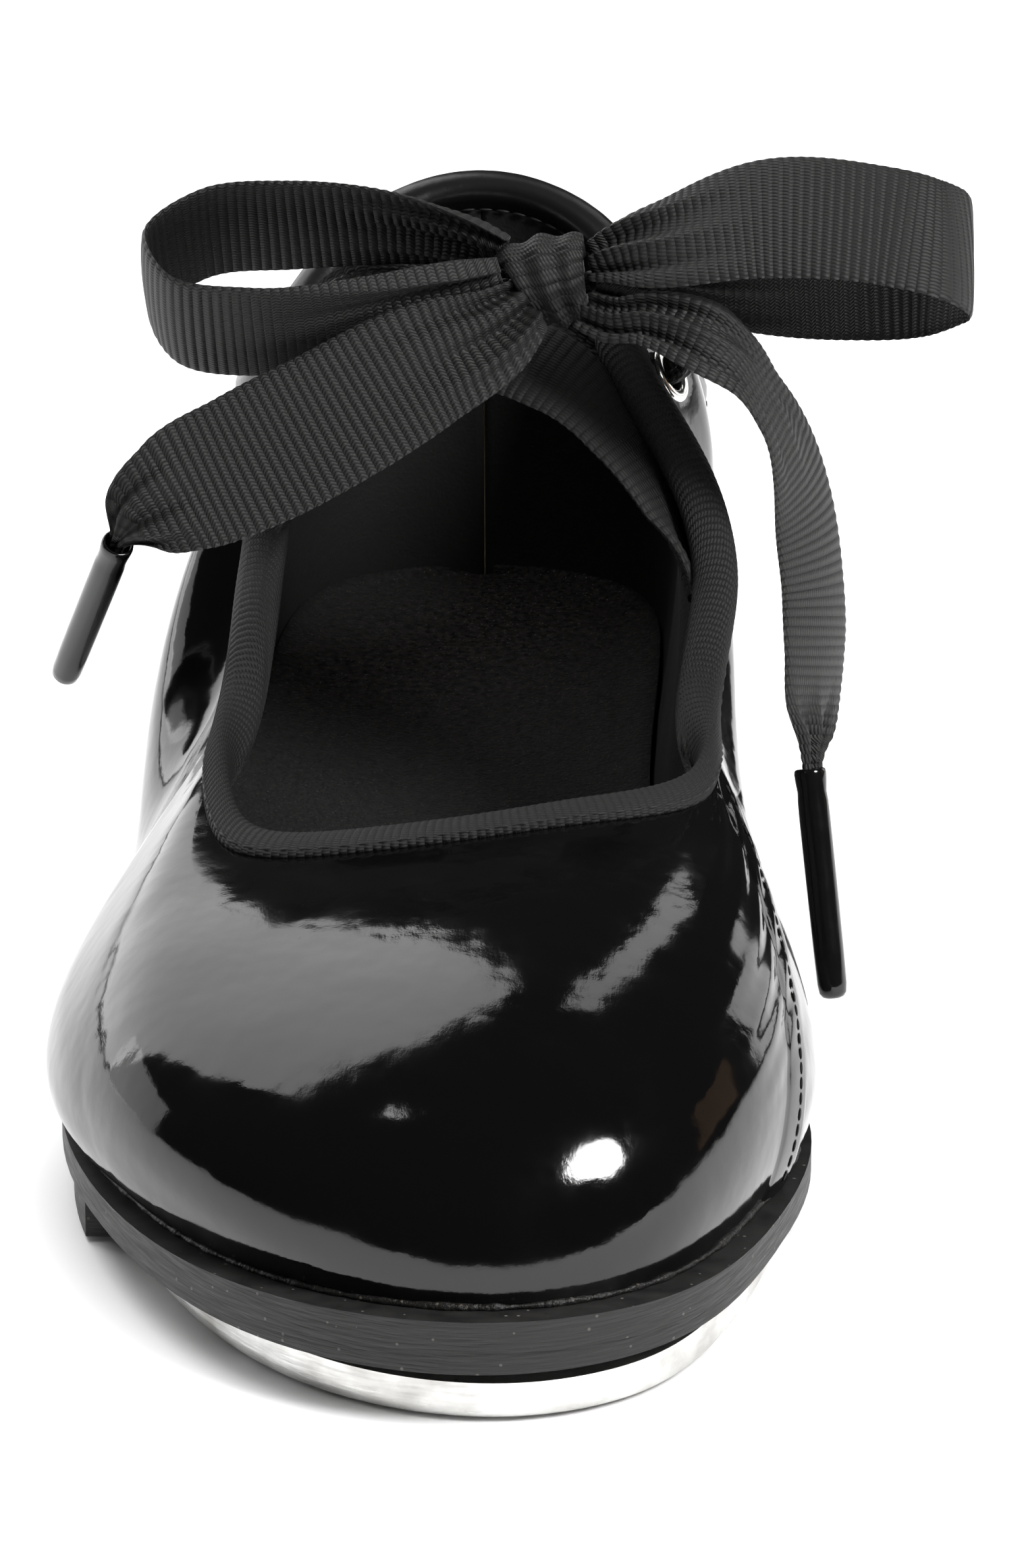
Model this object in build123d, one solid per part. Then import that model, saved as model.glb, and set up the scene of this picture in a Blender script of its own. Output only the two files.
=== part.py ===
from build123d import *
import os

import numpy as np

# Child's tyette tap shoe, right foot. Millimetres, +X medial (big toe side), -Y toe, +Z up.
# Origin: centre of the ground face of the heel tap. Toe tap and heel tap both stand on z = 0.

# ---- driving dimensions ----------------------------------------------------------------
TAP = 4.0              # toe tap thickness
HEEL_TAP = 2.4         # heel tap thickness
BOARD = 1.5            # fibre board between a tap and the rubber
SOLE = 3.0             # outsole thickness
LEATHER = 1.1          # patent outer leather
STIFFENER = 0.6        # puff, counter and backer layer
LINING = 0.6
GAP = 0.12             # air between glued layers
BOARD_IN = 1.6         # insole board thickness
SOCK = 1.4             # sock liner thickness
SEAM = 0.885           # station of the medial seam
RIBBON = 14.0          # ribbon width
WEAVE = 0.7            # ribbon thickness
AGLET_R = 1.6
AGLET_L = 23.5
SCREW_R = 1.5
KNOT = (9.3, -49.5, 77.8)

# Edge of the sole seen from above: x, y; then the ledge outside the upper: y, width.
EDGE = [(8, -155.8), (-12, -150.2), (-27.8, -131), (-36.2, -104), (-35, -76), (-29, -42),
        (-24.5, -10), (-18.5, 12), (0, 20), (18.5, 12), (23, -10), (22.5, -42),
        (28, -74), (36.3, -108), (32.4, -131), (22.8, -149)]
LEDGE = [(-150, 3.2), (-128, 2.6), (-104, .6), (-60, .4)]

# Side profile of the sole's top face: y, z.
PROFILE = [(-170, 11.9), (-155.5, 11.1), (-132, 9.5), (-104, 9), (-75, 9.6),
           (-42, 13), (-10, 17.5), (12, 18.5), (40, 18.5)]

# Topline of the throat, eyelet tabs and collar: station, x, y, z.
TOPLINE = [(0, 5.3, -98.5, 37.3), (.04, -6.5, -99, 35.7), (.07, -16.5, -98, 35),
           (.095, -20.2, -92.5, 35.9), (.125, -21.6, -83, 38.2), (.16, -21.6, -72, 41.1),
           (.20, -21.3, -62, 46.7), (.25, -19.6, -53, 56), (.275, -15.8, -47, 66),
           (.295, -10.5, -42, 70.5), (.315, -13, -35, 69.5), (.345, -20, -29, 63),
           (.38, -24, -21, 57.5), (.42, -22.5, -5, 58), (.46, -14, 10, 66), (.5, 0, 15, 70),
           (.54, 14, 10, 66), (.58, 22, -5, 58), (.62, 24.5, -21, 57.5), (.655, 23.5, -29, 62),
           (.685, 20.5, -35.5, 69), (.705, 16, -42, 70.5), (.725, 20, -48, 64.5),
           (.75, 25.2, -53.5, 57.4), (.775, 27.4, -58.5, 51.4), (.80, 27.4, -63, 47.2),
           (.84, 26.1, -71.5, 41.6), (.88, 25.7, -81, 39.5), (.91, 24.3, -89, 38.3),
           (.935, 20, -94, 38.3), (.965, 13.7, -96.8, 38.2)]

# Fullness of the wall: station, lean out and rise at the feather, then the offset
# (x, y, z) from the topline to the wall's upper control point.
FULLNESS = [(0, 1.3, 14.8, .5, -36, -1), (.08, 9, 13.1, -10.6, -25, -3),
            (.16, 11.3, 11.2, -.4, -8, -8), (.25, -2.4, 19.7, -4.4, -2, -14),
            (.295, 4, 22, -16, 2, -12), (.34, 3, 18, -7, 0, -14), (.42, 2, 16, -3, 1, -12),
            (.5, 1, 20, 0, 5, -16), (.58, 2, 16, 3, 1, -12), (.66, 3, 18, 4, 0, -14),
            (.705, 3, 22, 12, 1, -11), (.75, .7, 20, 5.6, -2, -14), (.84, 5.3, 11.1, -.5, -8, -9),
            (.92, 4.9, 13, 9.2, -26, -4)]


# ---- the wall surface of the upper -----------------------------------------------------
def ring(stations, values):
    """Closed cubic curve of period 1 through values at stations."""
    s, v, n = np.array(stations, float), np.array(values, float), len(stations)
    h = np.diff(np.append(s, s[0] + 1))
    a, b = np.zeros((n, n)), np.zeros(v.shape)
    for i in range(n):
        j, k = i - 1, (i + 1) % n
        a[i, j] += 1 / h[j]
        a[i, i] += 2 / h[j] + 2 / h[i]
        a[i, k] += 1 / h[i]
        b[i] = 3 * ((v[i] - v[j]) / h[j] ** 2 + (v[k] - v[i]) / h[i] ** 2)
    m = np.linalg.solve(a, b)

    def curve(q):
        q = np.asarray(q, float) % 1
        i = np.searchsorted(s, q, side="right") - 1
        w, k = h[i][..., None], (i + 1) % n
        t = (q - s[i])[..., None] / w
        return ((2 * t**3 - 3 * t**2 + 1) * v[i] + (t**3 - 2 * t**2 + t) * w * m[i]
                + (3 * t**2 - 2 * t**3) * v[k] + (t**3 - t**2) * w * m[k])
    return curve


def by_length(points):
    """Closed curve through points whose station runs with length, heel at 0.5."""
    p = np.array(points, float)
    d = np.linalg.norm(np.diff(np.vstack([p, p[:1]]), axis=0), axis=1)
    raw = ring(np.concatenate([[0], np.cumsum(d)[:-1]]) / d.sum(), p)
    q = np.linspace(0, 1, 2001)
    c = raw(q)
    run = np.concatenate([[0], np.cumsum(np.linalg.norm(np.diff(c[:, :2], axis=0), axis=1))])
    run /= run[-1]
    heel = run[np.argmax(c[:, 1])]
    run = np.where(run < heel, run / heel * .5, .5 + (run - heel) / (1 - heel) * .5)
    return lambda u: raw(np.interp(np.asarray(u, float) % 1, run, q))


plan = by_length(EDGE)
topline = ring([k[0] for k in TOPLINE], [k[1:] for k in TOPLINE])
fullness = ring([k[0] for k in FULLNESS], [k[1:] for k in FULLNESS])


def unit(v):
    return v / np.linalg.norm(v, axis=-1, keepdims=True)


def height(y):
    """Height of the sole's top face along the shoe: the profile, smoothed over 28 mm."""
    x = np.linspace(-170, 40, 106)
    kernel = np.hanning(15)
    raw = np.interp(x, *np.array(PROFILE, float).T)
    soft = np.convolve(np.pad(raw, 7, mode="edge"), kernel / kernel.sum(), "valid")
    return np.interp(y, x, soft)


def edge(s):
    """Top edge of the sole."""
    p = plan(s)
    return np.concatenate([p, height(p[..., 1:]) + .1], -1)


def outward(s):
    """Level direction away from the outline: its tangent turned a quarter."""
    t = edge(s + 1e-4) - edge(s - 1e-4)
    return unit(np.stack([-t[..., 1], t[..., 0], 0 * t[..., 0]], -1))


def feather(s):
    """Foot of the upper, set back from the sole's edge by the ledge."""
    p = edge(s)
    p = p - outward(s) * np.interp(p[..., 1:2], *np.array(LEDGE, float).T)
    p[..., 2:] = height(p[..., 1:2]) + .1
    return p


def outer(s, t):
    """Outer face of the upper: a cubic from the feather (t=0) to the topline (t=1)."""
    s, t = np.broadcast_arrays(np.asarray(s, float), np.asarray(t, float))
    p, q, w = feather(s), topline(s), fullness(s)
    low = p + outward(s) * w[..., :1]
    low[..., 2] += w[..., 1]
    high = q + w[..., 2:]
    t = t[..., None]
    return (1-t)**3 * p + 3*(1-t)**2*t * low + 3*(1-t)*t*t * high + t**3 * q


def frame_at(s, t):
    """Point, outward normal and upward direction on the outer face."""
    e = 1e-3
    along = outer(s + e, t) - outer(s - e, t)
    up = unit(outer(s, t) - outer(s, np.asarray(t) - e))
    return outer(s, t), unit(np.cross(up, along)), up


def inside(s, t, depth):
    p, n, _ = frame_at(s, t)
    return p - n * depth


def layer(s0, s1, t0, t1, depth, thick, ns=50, nt=10):
    """Sheet of the upper between two stations, its outer face at depth below the outside."""
    s, t = np.meshgrid(np.linspace(s0, s1, ns), np.linspace(t0, t1, nt), indexing="ij")
    near, far = [Face.make_surface_from_array_of_points(
        [[tuple(p) for p in row] for row in inside(s, t, d)], tol=.03, min_deg=3)
        for d in (depth, depth + thick)]
    rims = [Shell.make_loft([Wire([e]), Wire([min(far.edges(), key=lambda x: (x @ .5 - e @ .5).length)])],
                            ruled=True).faces()[0] for e in near.edges()]
    return Solid(Shell([near, far] + rims))


# ---- flat work: sole layers ------------------------------------------------------------
def outline(inset, path, n=48):
    """The sole's edge or the upper's foot brought in by inset, as a face on the floor plane."""
    s = np.arange(n) / n
    p = path(s) - outward(s) * inset
    return make_face(Spline(*[(x, y) for x, y, _ in p], periodic=True))


def sheet(low, high, y0=-165.0, y1=30.0, n=40):
    """Slab following the sole's side profile, from low to high above its top face."""
    y = np.linspace(y0, y1, n)
    side = [(v, height(v)) for v in y]
    with BuildSketch(Plane.YZ) as sk:
        with BuildLine():
            a = Spline(*[(v, z + low) for v, z in side])
            b = Spline(*[(v, z + high) for v, z in side])
            Line(a @ 0, b @ 0)
            Line(a @ 1, b @ 1)
        make_face()
    return extrude(sk.sketch, 60, both=True)


def slab(z0, z1, inset, path=edge):
    return extrude(Pos(0, 0, z0) * outline(inset, path), z1 - z0)


def keep_y(y0, y1):
    return Pos(0, (y0 + y1) / 2, 30) * Box(120, y1 - y0, 80)


# ---- bands: ribbon and elastic ----------------------------------------------------------
def along(knots, n):
    """Smooth open path: position, width direction and width at n places."""
    k = np.array(knots, float)
    d = np.concatenate([[0], np.cumsum(np.linalg.norm(np.diff(k[:, :3], axis=0), axis=1))])
    d /= d[-1]
    m = np.gradient(k, d, axis=0)
    q = np.linspace(0, 1, n)
    i = np.clip(np.searchsorted(d, q, side="right") - 1, 0, len(d) - 2)
    w = (d[i + 1] - d[i])[:, None]
    t = (q - d[i])[:, None] / w
    v = ((2*t**3 - 3*t**2 + 1) * k[i] + (t**3 - 2*t**2 + t) * w * m[i]
         + (3*t**2 - 2*t**3) * k[i+1] + (t**3 - t**2) * w * m[i+1])
    return v[:, :3], unit(v[:, 3:6]), v[:, 6]


def band(knots, thick, n=24):
    """Flat woven strip: a thin rectangle carried along the path."""
    p, wide, width = along(knots, n)
    run = unit(np.gradient(p, axis=0))
    wide = unit(wide - run * np.sum(wide * run, axis=1, keepdims=True))
    face = np.cross(run, wide)
    wires = []
    for c, a, b, w in zip(p, wide, face, width):
        corners = [c + a*w/2 + b*thick/2, c - a*w/2 + b*thick/2,
                   c - a*w/2 - b*thick/2, c + a*w/2 - b*thick/2]
        wires.append(Wire.make_polygon([tuple(v) for v in corners]))
    return Solid.make_loft(wires)


def rod(a, b, r):
    """Round bar from a to b."""
    a, b = Vector(*a), Vector(*b)
    return Solid.make_cylinder(r, (b - a).length, Plane(origin=a, z_dir=b - a))


def edging(s0, s1, n, leg_out, leg_in, thick, whole):
    """Strip folded over the topline: a U section carried along the edge."""
    wires = []
    for s in np.linspace(s0, s1, n):
        c, out, up = frame_at(s, 1.0)
        a, b = .45, whole + .45
        section = [(a+thick, -leg_out), (a+thick, a+thick), (-b-thick, a+thick),
                   (-b-thick, -leg_in), (-b, -leg_in), (-b, a), (a, a), (a, -leg_out)]
        wires.append(Wire.make_polygon([tuple(c + out*x + up*z) for x, z in section]))
    return Solid.make_loft(wires)


# ---- save ------------------------------------------------------------------------------
os.makedirs("parts", exist_ok=True)


def save(name, shape):
    shape.label = name
    export_step(shape, f"parts/{name}.step")


UP = (Align.CENTER, Align.CENTER, Align.MIN)
MID = LEATHER + GAP                  # depth of the stiffener layer
INNER = MID + STIFFENER + GAP        # depth of the lining
WALL = INNER + LINING
TOE_SCREWS = [(-18, -128), (6, -143.5), (25, -128.5)]
HEEL_SCREWS = [(-11, -6), (0, 10), (11, -6)]


# ---- taps, boards and screws ------------------------------------------------------------
def screws(places, length):
    """Countersunk wood screws, heads sunk in the plate, points up in the sole."""
    return Compound(children=[
        Pos(x, y, .5) * Cone(2.9, SCREW_R, 1.5, align=UP)
        + Pos(x, y, 2) * Cylinder(SCREW_R, length - 3, align=UP)
        + Pos(x, y, length - 1) * Cone(SCREW_R, .2, 1.5, align=UP) for x, y in places])


def bores(places, top):
    """Clearance for the screws: holes up to top, countersunk at the floor side."""
    return [Pos(x, y, -1) * Cylinder(SCREW_R + .08, top + 1, align=UP) for x, y in places]


def sinks(places):
    return [Pos(x, y, 0) * Cone(3.5, SCREW_R + .08, 2.2, align=UP) for x, y in places]


def plate(top, inset, shift, y0, y1, soft, places):
    """Metal tap: a plate with its walking edge rounded."""
    body = Pos(*shift) * slab(0, top, inset) & keep_y(y0, y1)
    body = fillet(body.edges().filter_by(GeomType.BSPLINE).group_by(Axis.Z)[0], soft)
    return body - bores(places, top + 1) - sinks(places)


toe_z = TAP + GAP
pad_top = toe_z + BOARD + GAP
save("toe_tap", plate(TAP, 4.2, (1.2, -1.8), -170, -112, 1.8, TOE_SCREWS))
save("toe_tap_board", (Pos(0, 2.2) * slab(toe_z, toe_z + BOARD, 3) & keep_y(-170, -111))
     - bores(TOE_SCREWS, 20))
save("toe_tap_screws", screws(TOE_SCREWS, 8.2))

heel_z = HEEL_TAP + GAP
block_z = heel_z + BOARD + GAP
save("heel_tap", plate(HEEL_TAP, 3.0, (0, 0), -17, 30, 1.0, HEEL_SCREWS))
save("heel_tap_board", (slab(heel_z, heel_z + BOARD, 2.4) & keep_y(-18, 30)) - bores(HEEL_SCREWS, 20))
save("heel_tap_screws", screws(HEEL_SCREWS, 13))

# ---- rubber: heel block, ball pad, outsole ------------------------------------------------
save("heel_block", (slab(block_z, 20, 1.6) & keep_y(-20, 30) & sheet(-30, -SOLE - GAP))
     - bores(HEEL_SCREWS, 13.7))
toe_seat = slab(pad_top, 12, .4) & keep_y(-170, -111) & sheet(-10, -SOLE + .5)
save("outsole", (slab(-5, 25, 0) & sheet(-SOLE, 0)) + toe_seat - bores(TOE_SCREWS, 8.9))
corner = ((slab(.5, 4, 1) - slab(-1, 13, 4.3)) + (slab(.5, 5.6, 1) - slab(-1, 13, 2.6)))
save("ball_pad", (Pos(-1) * slab(.5, 12, 2) & keep_y(-110, -70) & sheet(-20, -SOLE - GAP))
     + (corner & Pos(-30, -112.5, 4) * Box(20, 5.6, 12)))

# ---- inside the bottom ----------------------------------------------------------------------
margin_top = LEATHER + .25
sock_z = margin_top + BOARD_IN + GAP
save("bottom_filler", slab(0, 40, 12.5, feather) & sheet(GAP, margin_top - GAP) & keep_y(-145, -62))
save("shank", (Pos(-.5, -24, 20) * Box(11, 64, 60)) & sheet(GAP, margin_top - GAP))
save("insole_board", slab(0, 40, 3.6, feather) & sheet(margin_top, margin_top + BOARD_IN))
save("sock_liner", slab(0, 40, 3.4, feather) & sheet(sock_z, sock_z + SOCK))

# ---- upper ------------------------------------------------------------------------------------
EYELETS = [frame_at(s, .84) for s in (.297, .703)]


def bore(k, r):
    c, n, _ = EYELETS[k]
    return rod(c + n * 4, c - n * 8, r)


strip = (slab(0, 40, .35, feather) - slab(-1, 41, 10, feather)) & sheet(.1, .1 + LEATHER)
seam_y = float(feather(SEAM)[1])
side = Pos(30, seam_y / 2 + 15, 20) * Box(59.8, 30 - seam_y, 60)
save("vamp", layer(SEAM - 1 + .0008, .4992, 0, 1, 0, LEATHER, 70) - bore(0, 2.35) + (strip - side))
save("medial_quarter", layer(.5008, SEAM - .0008, 0, 1, 0, LEATHER) - bore(1, 2.35)
     + (strip & (Pos(.3, .3, 0) * side)))
save("toe_puff", layer(-.17, .15, .04, .5, MID, STIFFENER, 24, 6))
save("vamp_backer", layer(-.1, .08, .53, .93, MID, STIFFENER, 20, 6))
save("heel_counter", layer(.36, .64, .04, .6, MID, STIFFENER, 24, 6))
save("lateral_eyelet_stay", layer(.262, .335, .66, .9, MID, STIFFENER, 16, 6) - bore(0, 2.35))
save("medial_eyelet_stay", layer(.665, .738, .66, .9, MID, STIFFENER, 16, 6) - bore(1, 2.35))
save("vamp_lining", layer(-.112, .117, .04, 1, INNER, LINING, 30))
save("lateral_quarter_lining", layer(.119, .4992, .04, 1, INNER, LINING) - bore(0, 2.35))
save("medial_quarter_lining", layer(.5008, .886, .04, 1, INNER, LINING) - bore(1, 2.35))
save("back_strip", layer(.484, .516, .02, .92, -GAP - .9, .9, 8, 8))
save("throat_binding", edging(-.298, .298, 110, 1.4, 1.3, .6, WALL))
save("collar_binding", edging(.301, .699, 70, 1.6, 1.5, .6, WALL))


# ---- eyelets --------------------------------------------------------------------------------
def eyelet(k):
    """Tubular rivet with a rolled flange outside and a crimped collar inside."""
    c, n, _ = EYELETS[k]
    body = (rod(c + n * 1.2, c - n * (WALL + .9), 2.2) + rod(c + n * 1.2, c + n * .85, 3.1)
            + rod(c - n * (WALL + .5), c - n * (WALL + .9), 2.9))
    return body - rod(c + n * 4, c - n * 8, 1.85)


save("lateral_eyelet", eyelet(0))
save("medial_eyelet", eyelet(1))

# ---- ribbon and elastic ------------------------------------------------------------------------
# Paths: x, y, z of the middle of the strip, its width direction, its width.
B, F, E = (0, -.57, .82), (0, .75, .66), (0, .8, .6)
LOOP_LATERAL = [(3, -48.5, 79.8, *B, 7), (-6, -46, 81, *B, 11), (-17, -45, 81, *B, RIBBON),
                (-26, -46, 80.2, *B, RIBBON), (-31, -50, 77.2, *B, RIBBON),
                (-28.5, -54.5, 74, *B, RIBBON), (-20, -56, 73, *B, RIBBON),
                (-9, -54.8, 74.5, *B, 11), (2.5, -52.8, 77.5, *B, 6.5)]
LOOP_MEDIAL = [(16, -51, 80, *F, 7), (21, -53.4, 82, *F, 11), (31, -55, 85, *F, RIBBON),
               (42, -55, 84.5, *F, RIBBON), (49, -54, 82.5, *F, RIBBON),
               (51.2, -50.8, 80, *F, RIBBON), (48, -47.6, 77.2, *F, RIBBON),
               (39, -47, 76.3, *F, RIBBON), (29, -47.6, 76.4, *F, 12), (17.5, -48.5, 77.4, *F, 6)]
D = (-.5, .3, .8)
TAIL_LATERAL = [(4.5, -55.5, 73.2, *D, 8), (-3.3, -58.5, 70.2, *D, 12.5), (-12.5, -61, 65.4, *D, RIBBON),
                (-20.4, -63.5, 61.8, *D, RIBBON), (-27.6, -66, 58.9, *D, 12),
                (-31.8, -66.4, 56.2, *D, 7)]
TAIL_MEDIAL = [(16, -56, 74.6, .3, .6, .7, 5), (19.5, -57.5, 75.2, .3, .62, .7, 6.5),
               (24.6, -59, 74, .3, .66, .66, 8.5), (28.4, -58, 71, .15, .85, .45, 9.5),
               (31, -56, 66.6, .15, .95, .2, 11), (33.4, -54, 61, .28, .95, .06, 13),
               (35.2, -53, 53.4, .40, .9, 0, RIBBON), (36.2, -54, 46.5, .42, .9, 0, RIBBON),
               (36.5, -56, 40.5, .42, .9, 0, RIBBON), (36.3, -58, 34.5, .42, .9, 0, 12)]
AGLET_AT = [((-33.2, -66, 54), (-7.1, 12.3, -18.7)), ((36.2, -60, 28.6), (2.7, -8.1, -21.8))]


def tail(knots, k):
    """Loose ribbon end, gathered into its aglet."""
    (x, y, z), d = AGLET_AT[k]
    a, d, w = np.array((x, y, z)), unit(np.array(d, float)), knots[-1][3:6]
    ends = [(*(a + d * r), *w, 2.0) for r in (-1.0, 3.5)]
    return band(knots + ends, WEAVE, 30)


def aglet(k):
    """Moulded tube crimped over the ribbon's end."""
    a, d = AGLET_AT[k]
    a, d = np.array(a), unit(np.array(d, float))
    return rod(a, a + d * AGLET_L, AGLET_R) - rod(a - d, a + d * 5, 1.25)


def strand(k, knots):
    """Ribbon from the knot, gathered through an eyelet to the inside of the shoe."""
    c, n, up = EYELETS[k]
    w = unit(np.cross(n, up))
    w = w if w[1] > 0 else -w
    return band(knots + [(*(c + n * r), *w, 2.6) for r in (2.4, -WALL - 2.2)], WEAVE, 20)


def lump(centre, size):
    """Rounded lump of wrapped ribbon."""
    return Pos(*centre) * scale(Sphere(1), by=size)


save("ribbon_knot", lump(KNOT, (5, 4.2, 6)))
save("lateral_loop", band(LOOP_LATERAL, WEAVE, 34))
save("medial_loop", band(LOOP_MEDIAL, WEAVE, 34))
save("lateral_tail", tail(TAIL_LATERAL, 0))
save("medial_tail", tail(TAIL_MEDIAL, 1))
save("lateral_aglet", aglet(0))
save("medial_aglet", aglet(1))
save("lateral_strand", strand(0, [(3.6, -47, 73.4, *E, 4.5), (-4, -44.5, 73.4, *E, 5),
                                  (-11, -42.6, 73.6, *E, 5)]))
save("medial_strand", strand(1, [(15, -47.5, 74.3, *E, 4.5), (18.5, -44.5, 74.6, *E, 5)]))
inner = [c - n * (WALL + 3.4) for c, n, _ in EYELETS]
save("under_strand", band([(*inner[0], 0, 1, 0, 2.6), (-4, -37, 66.6, *E, 7), (3, -35.5, 68.4, *E, 7),
                           (11, -37, 66.6, *E, 7), (*inner[1], 0, 1, 0, 2.6)], WEAVE))
save("instep_elastic", band([(-16, -51, 51.5, .3, .8, .5, 7), (-10.2, -50, 60, .1, .85, .5, 9),
                             (3, -47, 68, 0, .9, .44, 12), (13, -50.5, 60.5, -.1, .8, .5, 9),
                             (18.6, -53.2, 52, -.3, .65, .7, 7)], 1.2))
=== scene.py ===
import math

import bpy
import numpy as np
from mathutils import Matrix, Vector


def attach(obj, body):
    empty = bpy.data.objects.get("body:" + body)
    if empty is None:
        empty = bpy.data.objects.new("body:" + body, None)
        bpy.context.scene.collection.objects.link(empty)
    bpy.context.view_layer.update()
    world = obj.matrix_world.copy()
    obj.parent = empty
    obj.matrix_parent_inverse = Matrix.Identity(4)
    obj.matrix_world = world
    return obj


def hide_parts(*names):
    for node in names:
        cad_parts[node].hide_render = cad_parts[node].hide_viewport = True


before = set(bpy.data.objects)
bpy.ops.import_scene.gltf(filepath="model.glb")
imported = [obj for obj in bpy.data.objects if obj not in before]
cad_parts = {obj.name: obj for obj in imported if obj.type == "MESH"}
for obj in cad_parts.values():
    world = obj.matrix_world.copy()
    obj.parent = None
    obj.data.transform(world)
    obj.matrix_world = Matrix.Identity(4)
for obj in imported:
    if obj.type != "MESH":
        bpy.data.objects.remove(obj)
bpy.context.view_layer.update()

MM = 0.001


# ---- studio ----------------------------------------------------------------------------
# A dark room with lit panels, which the patent leather mirrors: a tall softbox behind the
# lateral side, a low one beside it, a strip behind the medial side, a round and a small lamp
# above the toe, and a white and a brown card on the medial side.
AIM = Vector((.0065, -.080, .034))
ROOM = .035                 # what the surfaces see between the panels; the camera sees white
LENS_MM = 231.96
CAMERA = (2.0, 20.5, .650)  # azimuth, height angle, distance


def towards(azimuth, elevation):
    """Unit vector at an azimuth from the toe side (positive to +X) and a height angle."""
    a, e = math.radians(azimuth), math.radians(elevation)
    return Vector((math.sin(a) * math.cos(e), -math.cos(a) * math.cos(e), math.sin(e)))


def face_aim(thing, place):
    thing.location = place
    thing.rotation_euler = (place - AIM).to_track_quat("Z", "Y").to_euler()
    bpy.context.scene.collection.objects.link(thing)


def lamp(name, azimuth, elevation, distance, size, radiance, colour=(1, 1, 1), shape="RECTANGLE"):
    data = bpy.data.lights.new(name, "AREA")
    data.shape, data.size, data.size_y, data.color = shape, size[0], size[1], colour
    data.energy = radiance * math.pi * size[0] * size[1]
    thing = bpy.data.objects.new(name, data)
    thing.visible_camera = False
    face_aim(thing, AIM + towards(azimuth, elevation) * distance)


lamp("softbox", -139, 34, 1.0, (.76, 1.35), 2.7)
lamp("low_softbox", -108, 8, 1.0, (.5, .4), 1.3)
lamp("strip_light", 156, 50, .80, (.08, .42), 2.2)
lamp("round_lamp", 54, 41, .70, (.26, .26), 24, shape="ELLIPSE")
lamp("small_lamp", -70, 74, .70, (.07, .04), 5, shape="ELLIPSE")
lamp("edge_panel", 132, 13, .80, (.25, .34), 2.2)
lamp("warm_card", 104, 13, .80, (.24, .26), .30, (1, .62, .36))

overhead = bpy.data.lights.new("overhead", "AREA")
overhead.size, overhead.energy = 1.4, 30
overhead_lamp = bpy.data.objects.new("overhead", overhead)
overhead_lamp.visible_camera = overhead_lamp.visible_glossy = False
face_aim(overhead_lamp, AIM + towards(10, 80) * 1.3)

world = bpy.data.worlds.new("white_room")
bpy.context.scene.world = world
world.use_nodes = True
sky_tree = world.node_tree
sky_tree.nodes.clear()
seen, unseen, mix, path, sky = (sky_tree.nodes.new("ShaderNode" + kind) for kind in (
    "Background", "Background", "MixShader", "LightPath", "OutputWorld"))
seen.inputs["Color"].default_value = (1, 1, 1, 1)
unseen.inputs["Color"].default_value = (ROOM, ROOM, .036, 1)
sky_tree.links.new(path.outputs["Is Camera Ray"], mix.inputs[0])
sky_tree.links.new(unseen.outputs[0], mix.inputs[1])
sky_tree.links.new(seen.outputs[0], mix.inputs[2])
sky_tree.links.new(mix.outputs[0], sky.inputs[0])
bpy.context.scene.view_settings.view_transform = "Standard"

camera_data = bpy.data.cameras.new("camera")
camera_data.sensor_width, camera_data.sensor_fit = 36, "HORIZONTAL"
camera_data.lens = LENS_MM
camera = bpy.data.objects.new("camera", camera_data)
face_aim(camera, AIM + towards(*CAMERA[:2]) * CAMERA[2])
bpy.context.scene.camera = camera


# ---- material tools --------------------------------------------------------------------
# Each material is a Principled shader; patterns shared by several of them are node groups
# that put out masks and heights only.
class Finish:
    """A material being put together: nodes by type, links by socket."""

    def __init__(self, name, colour, roughness, **fixed):
        self.material = bpy.data.materials.new(name)
        self.material.use_nodes = True
        self.tree = self.material.node_tree
        self.shader = self.tree.nodes["Principled BSDF"]
        self.put("Base Color", (*colour, 1))
        self.put("Roughness", roughness)
        for key, value in fixed.items():
            self.put(key.replace("_", " "), value)

    def put(self, socket, value):
        if hasattr(value, "is_output"):
            self.tree.links.new(value, self.shader.inputs[socket])
        else:
            self.shader.inputs[socket].default_value = value

    def node(self, kind, inputs=(), **settings):
        n = self.tree.nodes.new("ShaderNode" + kind)
        for key, value in settings.items():
            setattr(n, key, value)
        for key, value in dict(inputs).items():
            if hasattr(value, "is_output"):
                self.tree.links.new(value, n.inputs[key])
            else:
                n.inputs[key].default_value = value
        return n

    def place(self, which="Object"):
        return self.node("TexCoord").outputs[which]

    def noise(self, scale, detail=3.0, where=None, rough=.5):
        return self.node("TexNoise", {"Vector": where or self.place(), "Scale": scale,
                                      "Detail": detail, "Roughness": rough}).outputs["Fac"]

    def ramp(self, value, low, high, a, b):
        return self.node("MapRange", {"Value": value, "From Min": low, "From Max": high,
                                      "To Min": a, "To Max": b}).outputs["Result"]

    def tint(self, value, a, b):
        n = self.node("Mix", {0: value}, data_type="RGBA")
        n.inputs[6].default_value, n.inputs[7].default_value = (*a, 1), (*b, 1)
        return n.outputs[2]

    def bump(self, height, strength, distance):
        n = self.node("Bump", {"Height": height, "Strength": strength, "Distance": distance})
        self.put("Normal", n.outputs["Normal"])

    def stretched(self, scale, size, detail):
        """Noise drawn out or squeezed along an axis."""
        placed = self.node("Mapping", {"Vector": self.place(), "Scale": scale}).outputs[0]
        return self.noise(size, detail, placed)

    def use(self, *names):
        for name in names:
            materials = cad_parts[name].data.materials
            materials.clear()
            materials.append(self.material)


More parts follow.
